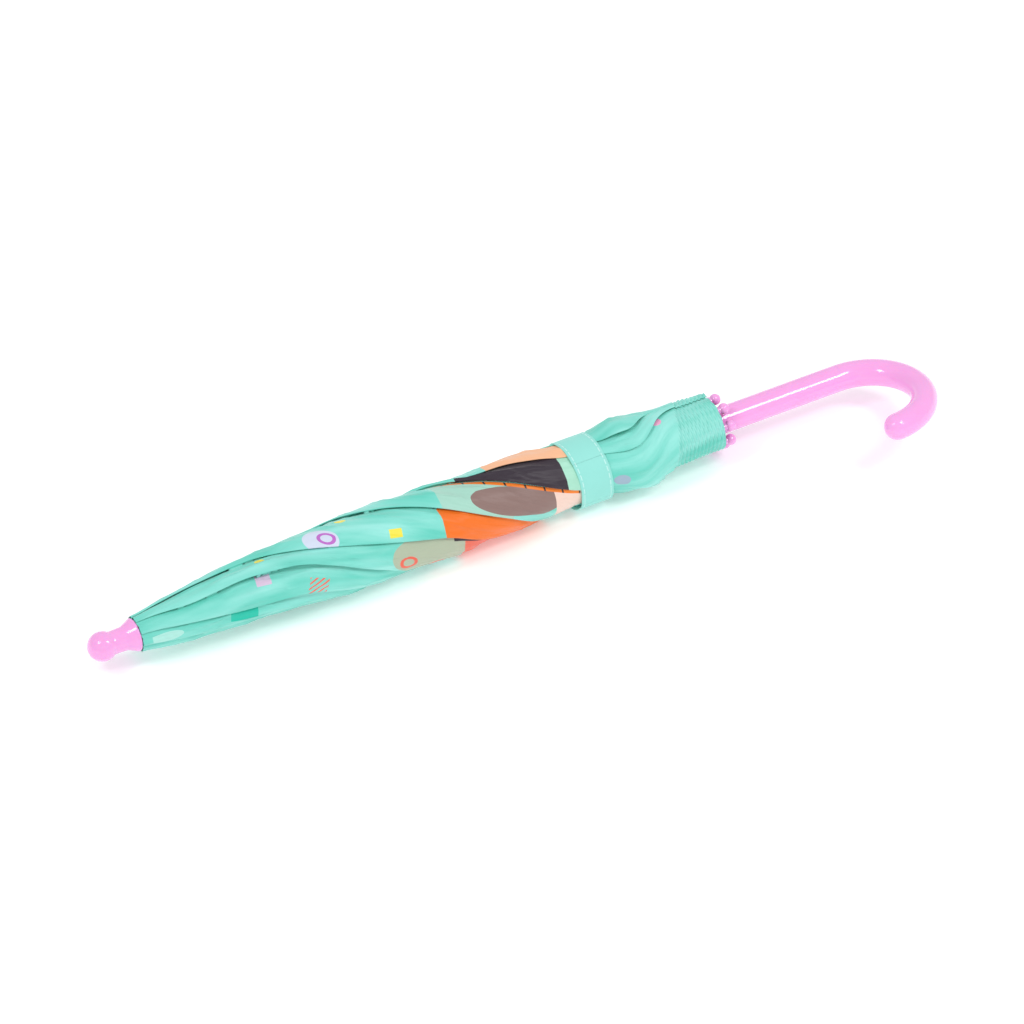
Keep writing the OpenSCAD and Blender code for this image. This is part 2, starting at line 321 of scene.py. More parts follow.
def hem_ridges(x, azimuth):
    """How far the cloth lies below the outermost layer past its hem, in mm: one small step for each hem.
    The outermost layer stands off at its lowest corner, so there it is less than nothing."""
    at, turn = hem_place(x, azimuth), np.asarray(azimuth) % 360
    beyond = np.maximum(at, 0)
    layer = np.floor(beyond / HEM_PITCH)
    share = beyond / HEM_PITCH - layer
    edge = 0.95 * smooth((share - 0.2) / 0.6) * (1 - smooth((share - 0.86) / 0.14))
    flare = 4.2 * smooth((x - 354) / 32) * np.exp(-(((turn - 128) / 24) ** 2)) * (1 - smooth(at / 0.7))
    return np.where(at > 0, 1.4 * smooth(at / 0.7) + 0.12 * (layer + share) - edge, 0.0) - flare


def roll_rows():
    """Places along the shaft of the cloth's rows, in mm, closer together where the hems lie."""
    end, fine_from = sizes().cloth_end / MM, OUTER_HEM - HEM_TILT - 3
    step = sizes().row_step / MM
    under_collar = np.linspace(ROLL_START, 0, 5)[:-1]
    body = np.linspace(0, fine_from, int(fine_from / step))[:-1]
    hems = np.linspace(fine_from, end, int((end - fine_from) / (step * 0.32)))
    return np.concatenate([under_collar, body, hems])


def rolled_tube():
    """The outside of the roll as grids of rows along the shaft and columns round it: places, the
    winding azimuth that orders the columns, the pleat, the way across it and the painted shade and highlight
    by the hems."""
    rows = roll_rows()
    edges = pleat_edges(rows)
    radius = curve(ROLL_RADIUS, rows, 6)
    shift = curve(ROLL_SHIFT, rows)
    tuck = sizes().tuck / MM
    fold = sizes().fold_radius / MM
    visible = np.linspace(0, 1, 17)
    columns = []
    for g in range(RIBS):
        start = edges[g - 1] - (360 if g == 0 else 0)
        end = edges[g]
        span = end - start
        arc = span * np.pi / 180 * radius
        tuck_deg = np.degrees(np.minimum(tuck, 0.45 * arc) / radius)
        before = step_height(rows, (g - 1) % RIBS)
        own = step_height(rows, g)

        def surface(s, azimuth):
            """Radius of the pleat at a share of the way across it."""
            low, high = -0.5 * before, 0.5 * own
            blend = smooth(s * 1.15) * 0.75 + 0.25 * s
            base = radius + shift * sag(azimuth) + low * (1 - blend) + high * blend
            base = base + gathers(rows, azimuth) - hem_ridges(rows, azimuth)
            held = np.interp(rows, [300, 325, 350, 366], [1, 0.2, 0.2, 1])
            bulge = 0.035 * arc * np.sin(np.pi * s) * held
            fade = np.sin(np.pi * np.clip(0.08 + 0.92 * s, 0, 1)) ** 0.5
            return base + bulge + wrinkles(rows, s, g) * fade

        for j in range(3):
            back = tuck_deg * (1 - j / 3)
            under = surface(0.0, start) - 0.25 - 0.12 * (3 - j)
            columns.append((rows, start - back, under, start + 0.02 * (j + 1), g, np.zeros_like(rows)))
        for s in visible:
            azimuth = start + span * s
            shown = start + 0.1 + (span - 0.2) * s
            columns.append((rows, azimuth, surface(s, azimuth), shown, g, arc * s))
        edge_r = surface(1.0, end)
        for k, (out, down) in enumerate(((0.75, 0.35), (1.0, 1.0), (0.6, 1.75))):
            turn = np.degrees(fold * out / radius)
            shown = end - 0.08 + 0.02 * k
            columns.append((rows, end + turn, edge_r - fold * down, shown, g, arc + fold * out))
        next_span = edges[(g + 1) % RIBS] + (360 if g == RIBS - 1 else 0) - end
        next_tuck = np.degrees(np.minimum(tuck, 0.45 * np.radians(next_span) * radius) / radius)
        for k, share in enumerate((0.35, 0.9)):
            columns.append(
                (rows, end - next_tuck * share, edge_r - 2 * fold - 0.05, end - 0.02 + 0.005 * k, g, arc)
            )
    tube = {}
    for n, key in enumerate(("x", "azimuth", "radius", "order", "pleat", "across")):
        tube[key] = np.array([np.broadcast_to(column[n], len(rows)) for column in columns]).T
    # Painted shade in the crease below each hem and painted highlight on its turned edge, for the cloth's
    # colour
    tube["painted_hem_shade"] = painted_hem_shade_at(tube["x"], tube["azimuth"])
    return tube


# Where the cloth is sewn over the rib's hinge line, in mm, and how much wider than the gap
# between two open ribs it is cut
CLOTH_OVER_RIB, EASE = 4.5, 1.02


def seam_radius(x):
    """Radius at which the cloth is sewn over the ribs, in mm."""
    return PIVOT_R / MM + x * math.tan(CLOSED_SLOPE) + CLOTH_OVER_RIB / math.cos(CLOSED_SLOPE)


def gore_width(x):
    """Flat width of a gore at a distance along the rib from the notch, in mm."""
    open_radius = PIVOT_R / MM + x * math.sin(RIB_OPEN + CLOSED_SLOPE)
    return 2 * open_radius * math.sin(HALF_PITCH) * EASE


# Hidden folds on each side of a gore, how far below the outside they end in mm, and the most of
# a gore's width that shows on the outside
LAYERS, UNDER_ROLL, MOST_SHOWN = 10, 2.9, 0.96


def folded_layers(x, side, roll_r):
    """Hidden folds of a gore between its seam and the outside, as (tangential, height) in mm:
    flat layers, low ones for the first rib's side (-1) and high ones for the second's (+1)."""
    half = HALF_PITCH
    low = seam_radius(x) * math.cos(half) + 1.4 * math.sin(half) + 0.4
    ceiling = roll_r - UNDER_ROLL
    reach = max(1.0, ceiling * math.tan(half) * math.cos(half) - 1.3)
    high = max(low + 0.4, math.sqrt(max(1.0, ceiling**2 - reach**2)))
    wanted = (gore_width(x) - roll_r * math.radians(PITCH) * 1.5) / (2 * LAYERS)
    points = []
    for k in range(LAYERS + 1):
        share = (k + 0.5) / (2 * LAYERS + 2) if side < 0 else 0.5 + (k + 0.5) / (2 * LAYERS + 2)
        height = low + (high - low) * share
        room = 2 * (height * math.tan(half) - 1.6)
        width = min(max(wanted, 0.7), room)
        points.append(((-1 if k % 2 == 0 else 1) * width / 2, height))
    return points


def seam_points(x):
    """Tangential offset and height of the two seams of a gore, in mm."""
    out, up = seam_radius(x) * math.sin(HALF_PITCH), seam_radius(x) * math.cos(HALF_PITCH)
    return (-out, up), (out, up)


class GoreMesh:
    """Vertices and faces of one gore while it is put together."""

    def __init__(self, middle):
        self.middle = middle
        self.co, self.share, self.roll_uv, self.flat_uv, self.pleat, self.painted_hem_shade = ([] for _ in range(6))
        self.faces, self.index = [], {}

    def add(self, key, point, share, roll_uv, flat_uv, pleat, painted_hem_shade=0.0):
        """The vertex of that key, made at its first use."""
        if key not in self.index:
            self.index[key] = len(self.co)
            lists = (self.co, self.share, self.roll_uv, self.flat_uv, self.pleat, self.painted_hem_shade)
            for values, value in zip(lists, (point, share, roll_uv, flat_uv, pleat, painted_hem_shade)):
                values.append(value)
        return self.index[key]

    def from_gore(self, x, tangential, height):
        """Point from the gore's own coordinates."""
        radius = math.hypot(tangential, height)
        azimuth = self.middle + math.degrees(math.atan2(tangential, height))
        return place(x, azimuth, radius)


def build_gore(i, tube, positions):
    """One gore: its stretch of the roll's outside and the folds that lead down to its two seams.
    The first mesh.outside faces are the outside, whose shading must not turn in with the folds."""
    rows, columns = tube["x"].shape
    x_rows = tube["x"][:, 0]
    first = FIRST_RIB + PITCH * (i - 1)
    mesh = GoreMesh(first + PITCH / 2)
    order = np.concatenate([tube["order"] + 360 * k for k in (-1, 0, 1, 2)], axis=1)
    starts, ends = [], []
    for j in range(rows - 1):
        centre = 0.25 * (order[j, :-1] + order[j, 1:] + order[j + 1, :-1] + order[j + 1, 1:])
        inside = np.nonzero((centre >= first) & (centre < first + PITCH))[0]
        starts.append(int(inside[0]))
        ends.append(int(inside[-1]) + 1)

    def outer(j, c):
        """The vertex of the outside at a row and a column."""
        k = c % columns
        width = gore_width(x_rows[j])
        shown = min(MOST_SHOWN, tube["radius"][j, k] * math.radians(PITCH) / max(width, 1.0))
        share = 0.5 + (order[j, c] - mesh.middle) / PITCH * shown
        turn = math.radians((tube["azimuth"][j, k] + 180) % 360 - 180)
        return mesh.add(
            ("outer", j, c), positions[j, k], share, (x_rows[j] * MM, turn * PRINT_RADIUS * MM),
            (x_rows[j] * MM, tube["across"][j, k] * MM), tube["pleat"][j, k], tube["painted_hem_shade"][j, k],
        )

    def chain(j):
        """Left and right folded stretches of a row, from each seam up to the outside."""
        x = x_rows[j]
        roll_r = tube["radius"][j].min()
        width = gore_width(x)
        shown = min(MOST_SHOWN, roll_r * math.radians(PITCH) / max(width, 1.0))
        hidden = 0.5 - shown / 2
        out = []
        for side, seam in zip((-1, 1), seam_points(x)):
            path = [seam] + [(-side * t, h) for t, h in folded_layers(x, side, roll_r)]
            top = roll_r - 2.3
            limit = top * math.sin(HALF_PITCH) - 0.5
            path.append((side * limit, math.sqrt(max(1.0, top**2 - limit**2))))
            ids = []
            for n, (t, h) in enumerate(path):
                fraction = hidden * n / len(path)
                share = fraction if side < 0 else 1 - fraction
                across = (share - 0.5) * width
                uvs = (x * MM, NO_PRINT), (x * MM, across * MM)
                ids.append(mesh.add((side, j, n), mesh.from_gore(x, t, h), share, *uvs, HIDDEN_PLEAT))
            out.append(ids)
        return out

    chains = [chain(j) for j in range(rows)]
    for j in range(rows - 1):
        for c in range(starts[j], ends[j]):
            mesh.faces.append((outer(j, c), outer(j + 1, c), outer(j + 1, c + 1), outer(j, c + 1)))
    mesh.outside = len(mesh.faces)
    for j in range(rows - 1):
        for side in (0, 1):
            a, b = chains[j][side], chains[j + 1][side]
            for n in range(len(a) - 1):
                quad = (a[n], b[n], b[n + 1], a[n + 1])
                mesh.faces.append(quad if side == 0 else quad[::-1])
            c = starts[j] if side == 0 else ends[j]
            quad = (a[-1], b[-1], outer(j + 1, c), outer(j, c))
            mesh.faces.append(quad if side == 0 else quad[::-1])
    for j in range(1, rows - 1):
        for side, bounds in ((0, starts), (1, ends)):
            lo, hi = sorted((bounds[j - 1], bounds[j]))
            for c in range(lo, hi):
                tri = (chains[j][side][-1], outer(j, c), outer(j, c + 1))
                forward = (bounds[j] > bounds[j - 1]) == (side == 0)
                mesh.faces.append(tri if forward else tri[::-1])
    return mesh


def new_object(name, co, faces, material):
    """A mesh object in the scene with smooth faces and one material."""
    data = bpy.data.meshes.new(name)
    data.from_pydata([tuple(p) for p in co], [], [tuple(f) for f in faces])
    data.validate()
    data.shade_smooth()
    data.materials.append(material)
    obj = bpy.data.objects.new(name, data)
    bpy.context.scene.collection.objects.link(obj)
    return obj


def ring_faces(rows, columns):
    """Faces of a tube of vertex rows, each row closed on itself."""
    faces = []
    for j in range(rows - 1):
        for c in range(columns):
            n = (c + 1) % columns
            faces.append((j * columns + c, (j + 1) * columns + c, (j + 1) * columns + n, j * columns + n))
    return faces


def add_uv(obj, name, values):
    """A UV layer from one pair of values for each vertex."""
    layer = obj.data.uv_layers.new(name=name)
    loops = np.zeros(len(obj.data.loops), int)
    obj.data.loops.foreach_get("vertex_index", loops)
    layer.data.foreach_set("uv", np.array(values, np.float32)[loops].ravel())


def add_values(obj, name, values):
    """A number for each vertex, for the material to read."""
    attribute = obj.data.attributes.new(name, "FLOAT", "POINT")
    attribute.data.foreach_set("value", np.array(values, np.float32))


def opening_weights(mesh):
    """Share of the gore's spread that each vertex would take, for the open cloth to lie flat across."""
    co = np.array(mesh.co)
    d = (co - NOTCH) / MM
    x = d @ ALONG
    middle = math.radians(mesh.middle)
    across = -math.sin(middle) * (d @ UP) + math.cos(middle) * (d @ SIDE)
    share = np.array(mesh.share)
    held = (2 * share - 1) * seam_radius(x) * math.sin(HALF_PITCH)
    sweep = np.maximum(20.0, x) * math.sin(SPREAD_SLOPE) * SPREAD
    return np.clip(share - (across - held) / sweep, 0, 1)


def sharpen_rim(obj, outside):
    """Marks the edges between the outside of a gore and its folds, so that each shades by itself."""
    keys = {tuple(sorted(e.vertices)): e.index for e in obj.data.edges}
    sides = {}
    for polygon in obj.data.polygons:
        for key in polygon.edge_keys:
            sides.setdefault(tuple(sorted(key)), set()).add(polygon.index < outside)
    sharp = obj.data.attributes.new("sharp_edge", "BOOLEAN", "EDGE")
    for key, kinds in sides.items():
        if len(kinds) == 2:
            sharp.data[keys[key]].value = True


# Least height of the cloth over the floor, in mm
OVER_FLOOR = 0.15


def make_gores(material):
    """The eight gores of the canopy, each sewn between two ribs, and the sleeve under the collar."""
    whole = rolled_tube()
    first_row = int(np.nonzero(whole["x"][:, 0] >= 0)[0][0])
    make_rosette(whole, first_row, material)
    tube = {key: grid[first_row:] for key, grid in whole.items()}
    positions = place(tube["x"], tube["azimuth"], tube["radius"])
    positions[..., 2] = np.maximum(positions[..., 2], OVER_FLOOR * MM)
    rows = tube["x"][:, 0]
    area = float(np.trapz(gore_width(rows), rows)) * MM * MM
    for i in range(1, RIBS + 1):
        mesh = build_gore(i, tube, positions)
        obj = new_object(f"canopy_gore_{i}", mesh.co, mesh.faces, material)
        add_uv(obj, "roll", mesh.roll_uv)
        add_uv(obj, "flat", mesh.flat_uv)
        add_values(obj, "pleat", mesh.pleat)
        # Painted shade below each hem and painted highlight on its turned edge, for the material
        add_values(obj, "painted_hem_shade", mesh.painted_hem_shade)
        sharpen_rim(obj, mesh.outside)
        first, second = joint_place(f"rib_{i}_swing"), joint_place(f"rib_{i % RIBS + 1}_swing")
        tuple(first)
        tuple(second)
        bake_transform(obj)
        opening_weights(mesh).astype(np.float32)
        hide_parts(f"gore_{i}")


def make_rosette(whole, first_row, material):
    """Gathered sleeve of cloth that runs from the canopy's first row in under the collar."""
    grid = {key: values[: first_row + 1] for key, values in whole.items()}
    rows, columns = grid["x"].shape
    co = place(grid["x"], grid["azimuth"], grid["radius"]).reshape(-1, 3)
    obj = new_object("canopy_rosette", co, ring_faces(rows, columns), material)
    x, across = grid["x"].ravel() * MM, grid["across"].ravel() * MM
    add_uv(obj, "roll", np.stack([x, np.full(len(x), NO_PRINT)], axis=1))
    add_uv(obj, "flat", np.stack([x, across], axis=1))
    add_values(obj, "pleat", np.full(len(x), SLEEVE_PLEAT))
    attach(obj, "root")


# ---------------------------------------------------------------------------------------
# Strap
# ---------------------------------------------------------------------------------------

STRAP_PIECES = 4
# Turn of the tab past its hinge line and of the pads, in degrees, and the pads' width in mm
TAB_TURN, PAD_TURN, PAD_WIDTH = 62, 34, 18
# How far the strap is skewed along the shaft and set off from the middle of the CAD strap, in mm
STRAP_LEAN, STRAP_SHIFT = 1.6, 1.4


def strap_turns():
    """Azimuth and mid radius at each of the strap's hinge lines, and the tab's end, in degrees and mm."""
    stops = []
    for name in [f"strap_{k}_unroll" for k in range(1, STRAP_PIECES + 1)] + ["strap_tab_peel"]:
        d = joint_place(name) - NOTCH
        turn = azimuth_of(joint_place(name))
        while stops and turn < stops[-1][0]:
            turn += 360
        stops.append((turn, math.hypot(d @ SIDE, d @ UP) / MM))
    stops.append((stops[-1][0] + TAB_TURN, stops[-1][1]))
    return stops


def strap_radius(turn, stops):
    """Middle radius of the strap at a turn angle: snug on the roll, then climbing over its own start."""
    start, end = stops[STRAP_PIECES][0] - 26, stops[STRAP_PIECES][0] + 14
    low, high = stops[0][1], stops[STRAP_PIECES][1]
    shift = float(np.interp((STRAP_FROM + STRAP_TO) / 2, *zip(*ROLL_SHIFT)))
    climb = (high - low) * smooth((np.asarray(turn) - start) / (end - start))
    return low + climb + shift * sag(turn) * np.interp(turn, [stops[4][0], stops[5][0]], [1, 0.3])


def strap_place():
    """Where the middle of the strap's width lies along the shaft, in mm."""
    low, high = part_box("strap_3")
    centre = (np.array(low) + np.array(high)) / 2 - NOTCH
    return float(centre @ ALONG) / MM


def strip_profile(width, thickness, inset):
    """Cross-section of a sewn strip as (across, lift) in mm: rounded edges and a stitch groove."""
    half, r, top = width / 2, thickness * 0.45, thickness / 2
    left = [
        (-half + r, -top), (-half + 0.1 * r, -top / 2), (-half, 0), (-half + 0.1 * r, top / 2),
        (-half + r, top + 0.05), (-half + inset - 0.7, top + 0.06), (-half + inset, top - 0.2),
        (-half + inset + 0.7, top - 0.02), (-half * 0.6, top - 0.024), (-half * 0.3, top - 0.042),
    ]
    return left + [(0, top - 0.06)] + [(-a, b) for a, b in reversed(left)]


def build_strip(name, turn0, turn1, lift, profile, stops, centre_x, waver, material, columns=36, lap=0.0):
    """A closed strip wound round the shaft between two turn angles, run on by a short lap."""
    turns = np.linspace(turn0, turn1 + lap, columns)
    section = len(profile)
    co, uv = [], []
    for turn in turns:
        r0 = float(strap_radius(turn, stops)) + lift
        sway = 0.5 * math.sin(math.radians(turn * 3 + 40))
        wave = waver * (noise.noise(Vector((turn * 0.035, 1.7, 0))) + sway)
        lean = STRAP_SHIFT - STRAP_LEAN * math.cos(math.radians(turn - SHIFT_AZIMUTH))
        for across, up in profile:
            dimple = waver * 0.9 * noise.noise(Vector((turn * 0.05, across * 0.14, 5.0)))
            co.append(place(centre_x + lean + across + wave * 0.35, turn, r0 + up + 0.5 * dimple))
            uv.append((math.radians(turn) * r0 * MM, across * MM))
    faces = []
    for c in range(columns - 1):
        for k in range(section):
            n = (k + 1) % section
            faces.append((c * section + k, c * section + n, (c + 1) * section + n, (c + 1) * section + k))
    faces.append(tuple(range(section))[::-1])
    faces.append(tuple((columns - 1) * section + k for k in range(section)))
    obj = new_object(name, np.array(co), faces, material)
    for end in (-1, -2):
        obj.data.polygons[end].use_smooth = False
    add_uv(obj, "flat", uv)
    share = np.repeat(np.clip((turns - turn0) / (turn1 - turn0), 0, 1), section)
    return obj, share, turns


def bend_strip(obj, body_a, body_b, joint, weights):
    """Bakes a strip's place in the scene into its mesh."""
    start = joint_place(joint)
    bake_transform(obj)
    np.asarray(weights, np.float32)


def make_strap(cloth, fastener):
    """The closing strap: four stretches, the tab that peels and the hook-and-loop pads."""
    stops = strap_turns()
    centre_x = strap_place()
    width, thickness = sizes().strap_width / MM, sizes().strap_thickness / MM
    profile = strip_profile(width, thickness, sizes().seam_inset / MM)
    bodies = ["rib_5"] + [f"strap_{k}" for k in range(1, STRAP_PIECES + 1)] + ["strap_tab"]
    for k in range(STRAP_PIECES):
        obj, share, _ = build_strip(
            f"closing_strap_{k + 1}", stops[k][0], stops[k + 1][0], 0, profile, stops, centre_x, 0.5, cloth,
            lap=1.0,
        )
        bend_strip(obj, bodies[k], bodies[k + 1], f"strap_{k + 1}_unroll", share)
        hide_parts(f"strap_{k + 1}")
    tab, share, _ = build_strip(
        "closing_strap_tab", stops[4][0], stops[5][0], 0, profile, stops, centre_x, 0.3, cloth
    )
    bend_strip(tab, bodies[4], bodies[5], "strap_tab_peel", smooth(share / 0.35))
    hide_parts("strap_tab")
    pad_profile = strip_profile(PAD_WIDTH, 0.75, 1.2)
    pad_end = stops[5][0] - 4
    for name, node, turn, lift, body, other, joint in (
        ("hook_side_pad", "hook_pad", pad_end, -0.9, "strap_tab", "strap_4", "strap_tab_peel"),
        ("loop_side_pad", "loop_pad", pad_end - 360, 0.9, "strap_1", "rib_5", "strap_1_unroll"),
    ):
        pad, share, turns = build_strip(
            name, turn - PAD_TURN, turn, lift, pad_profile, stops, centre_x, 0.0, fastener, columns=18
        )
        if node == "loop_pad":
            whole = (np.repeat(turns, len(pad_profile)) - stops[0][0]) / (stops[1][0] - stops[0][0])
            bend_strip(pad, other, body, joint, whole)
        else:
            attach(pad, body)
        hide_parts(node)


# ---------------------------------------------------------------------------------------
# Materials
# ---------------------------------------------------------------------------------------

MATH, MIX, NOISE = "ShaderNodeMath", "ShaderNodeMix", "ShaderNodeTexNoise"
MAPPING, MAP_RANGE, SPLIT = "ShaderNodeMapping", "ShaderNodeMapRange", "ShaderNodeSeparateXYZ"
BUMP, VORONOI, UV_MAP = "ShaderNodeBump", "ShaderNodeTexVoronoi", "ShaderNodeUVMap"
ATTRIBUTE, COORDINATES = "ShaderNodeAttribute", "ShaderNodeTexCoord"


def add_node(tree, kind, inputs=(), **settings):
    """Adds a node with its settings. Its inputs go by name or in order: a socket is joined, a node
    is joined by its first output in use, and anything else is set as a value."""
    node = tree.nodes.new(kind)
    for key, value in settings.items():
        setattr(node, key, value)
    for key, value in inputs.items() if isinstance(inputs, dict) else enumerate(inputs):
        if isinstance(value, bpy.types.Node):
            value = next(socket for socket in value.outputs if socket.enabled)
        if isinstance(value, bpy.types.NodeSocket):
            tree.links.new(value, node.inputs[key])
        else:
            node.inputs[key].default_value = value
    return node


def new_material(name):
    """An empty material and its node tree."""
    material = bpy.data.materials.new(name)
    material.use_nodes = True
    material.node_tree.nodes.clear()
    return material, material.node_tree


def finish_material(tree, inputs):
    """Joins the shader's inputs and then the shader to the material's surface."""
    shader = add_node(tree, "ShaderNodeBsdfPrincipled", inputs)
    add_node(tree, "ShaderNodeOutputMaterial", {"Surface": shader})


def toned(colour, red, green, blue):
    """The colour with its channels multiplied and held to 1."""
    return tuple(min(1, c * f) for c, f in zip(colour, (red, green, blue))) + (1.0,)


def overlap(tree, masks):
    """Mask that is 1 only where all of the masks are."""
    whole = masks[0]
    for mask in masks[1:]:
        whole = add_node(tree, MATH, (whole, mask), operation="MULTIPLY")
    return whole


def between(tree, value, low, high):
    """Two masks: 1 above the low value and 1 below the high one."""
    tests = (("GREATER_THAN", low), ("LESS_THAN", high))
    return [add_node(tree, MATH, (value, limit), operation=test) for test, limit in tests]


def moulded_plastic(name, colour, roughness):
    """Glossy injection-moulded polypropylene or acetal: even colour, a clear highlight and faint
    flow marks."""
    material, tree = new_material(name)
    place_in = add_node(tree, COORDINATES).outputs["Object"]
    flow = add_node(tree, NOISE, {"Vector": place_in, "Scale": 45.0, "Detail": 2.0})
    deep, pale = toned(colour, 0.95, 0.95, 0.95), toned(colour, 1.06, 1.06, 1.06)
    mix = add_node(tree, MIX, {"Factor": flow, "A": deep, "B": pale}, data_type="RGBA")
    grain = add_node(tree, NOISE, {"Vector": place_in, "Scale": 420.0, "Detail": 1.0})
    bump = add_node(tree, BUMP, {"Height": grain, "Strength": 0.025, "Distance": 0.1 * MM})
    finish_material(tree, {
        "Base Color": mix, "Normal": bump, "Roughness": roughness, "IOR": 1.49, "Coat Weight": 0.6,
        "Coat Roughness": 0.03, "Subsurface Weight": 0.12, "Subsurface Scale": 2.5 * MM,
    })
    return material


def nickel_plated_steel(colour):
    """Drawn steel with bright nickel plating: sharp reflections with fine lines along the part."""
    material, tree = new_material("nickel_plated_drawn_steel")
    place_in = add_node(tree, COORDINATES).outputs["Object"]
    lines = add_node(tree, MAPPING, {"Vector": place_in, "Scale": (20.0, 900.0, 900.0)})
    drawn = add_node(tree, NOISE, {"Vector": lines, "Scale": 1.0, "Detail": 2.0})
    spread = add_node(tree, MAP_RANGE, {"Value": drawn, "To Min": 0.16, "To Max": 0.32})
    finish_material(tree, {"Base Color": colour, "Metallic": 1.0, "Roughness": spread})
    return material


# Print on the rolled cloth: shape, middle along the shaft and round it (mm, degrees), half
# sizes in mm, turn in degrees, colour, and the pleat that it is printed on
PRINT = [
    ("box", 300, -20, 33, 16, 0, "#FBBE94", 0),
    ("box", 290, 15, 46, 60, 0, "#2E2230", 1),
    ("box", 330, 55, 13, 40, 0, "#A9E3CB", 1),
    ("box", 248, 10, 24, 60, 0, "#A7D9C8", 2),
    ("disc", 279, 55, 36, 10.5, 20, "#8F746E", 2),
    ("box", 321, 95, 15, 40, 0, "#F6D6C8", 2),
    ("box", 262, 70, 42, 60, 0, "#F8740E", 3),
    ("box", 185, 36, 4.6, 2.8, 10, "#F5E642", 3),
    ("disc", 155, -22, 4, 2.6, 20, "#F5E642", 3),
    ("disc", 134, 5, 12.5, 8.5, 28, "#D5DFF3", 3),
    ("ring", 138, 6, 6.5, 4.2, 30, "#C06CCB", 3),
    ("disc", 211, 94, 34, 15.5, 14, "#B3BFA6", 4),
    ("ring", 190, 92, 7, 5, 20, "#F2644C", 4),
    ("ring", 214, 128, 8, 5, 20, "#F2644C", 4),
    ("box", 262, 135, 27, 30, 0, "#F4694F", 4),
    ("disc", 90, -11, 3.6, 2.2, 20, "#EFE45A", 4),
    ("box", 86, 28, 5.4, 5.6, 8, "#DDC4DE", 5),
    ("hatch", 122, 76, 7, 6, 20, "#F0705F", 5),
    ("box", 67, 89, 10, 3.9, 6, "#12C8AE", 6),
    ("disc", 9, 82, 13, 5.5, 0, "#B0EBE0", 6),
    ("disc", 358, 86, 6, 4, 15, "#9FB6C9", 1),
    ("disc", 396, 2, 4, 4, 0, "#F4A9CC", 1),
]
# Narrow printed lines just below a pleat's edge: pleat, from and to along the shaft, from
# and to below the edge (mm), colour, and the pitch of the dark bars that break it
LINES = [
    (2, 229, 326, 0.3, 3.3, "#FA8220", 13.0),
    (4, 226, 268, 0.4, 3.6, "#2E2230", 0.0),
]
BAR_SHARE, BAR_COLOUR = 0.1, "#2B2326"
RING_HOLE = 0.62
# Discs on the cloth that is hidden in the roll: density, radius as a share of their spacing,
# and for each colour the share of the discs that takes it, from and to
DISC_DENSITY, DISC_RADIUS = 14.0, 0.24
DISCS = ((0.0, 0.2, "#B3BFA6"), (0.2, 0.36, "#F8740E"), (0.36, 0.5, "#F7B3D8"), (0.5, 0.6, "#2E2230"))
# Painted shade in the crease below each hem and painted highlight on its turned edge: how much of each
# shows, and its colour
PAINTED_HEM_SHADES = ((0.55, "#3FB9A6"), (-0.5, "#B4F3E6"))


def shape_mask(tree, kind, at, half):
    """Mask that is 1 inside a printed shape; at holds the place from its middle, in metres."""
    parts = add_node(tree, SPLIT, {"Vector": at}).outputs
    u, v = (add_node(tree, MATH, (p, h * MM), operation="DIVIDE") for p, h in zip(parts, half))
    if kind in ("box", "hatch"):
        sides = [add_node(tree, MATH, (side,), operation="ABSOLUTE") for side in (u, v)]
        far = add_node(tree, MATH, sides, operation="MAXIMUM")
    else:
        squares = [add_node(tree, MATH, (side, side), operation="MULTIPLY") for side in (u, v)]
        far = add_node(tree, MATH, squares, operation="ADD")
        far = add_node(tree, MATH, (far,), operation="SQRT")
    masks = [add_node(tree, MATH, (far, 1.0), operation="LESS_THAN")]
    if kind == "ring":
        masks.append(add_node(tree, MATH, (far, RING_HOLE), operation="GREATER_THAN"))
    if kind == "hatch":
        bars = add_node(tree, MATH, (u, v), operation="ADD")
        for operation, *value in (("MULTIPLY", 9.0), ("SINE",), ("GREATER_THAN", 0.35)):
            bars = add_node(tree, MATH, (bars, *value), operation=operation)
        masks.append(bars)
    return overlap(tree, masks)


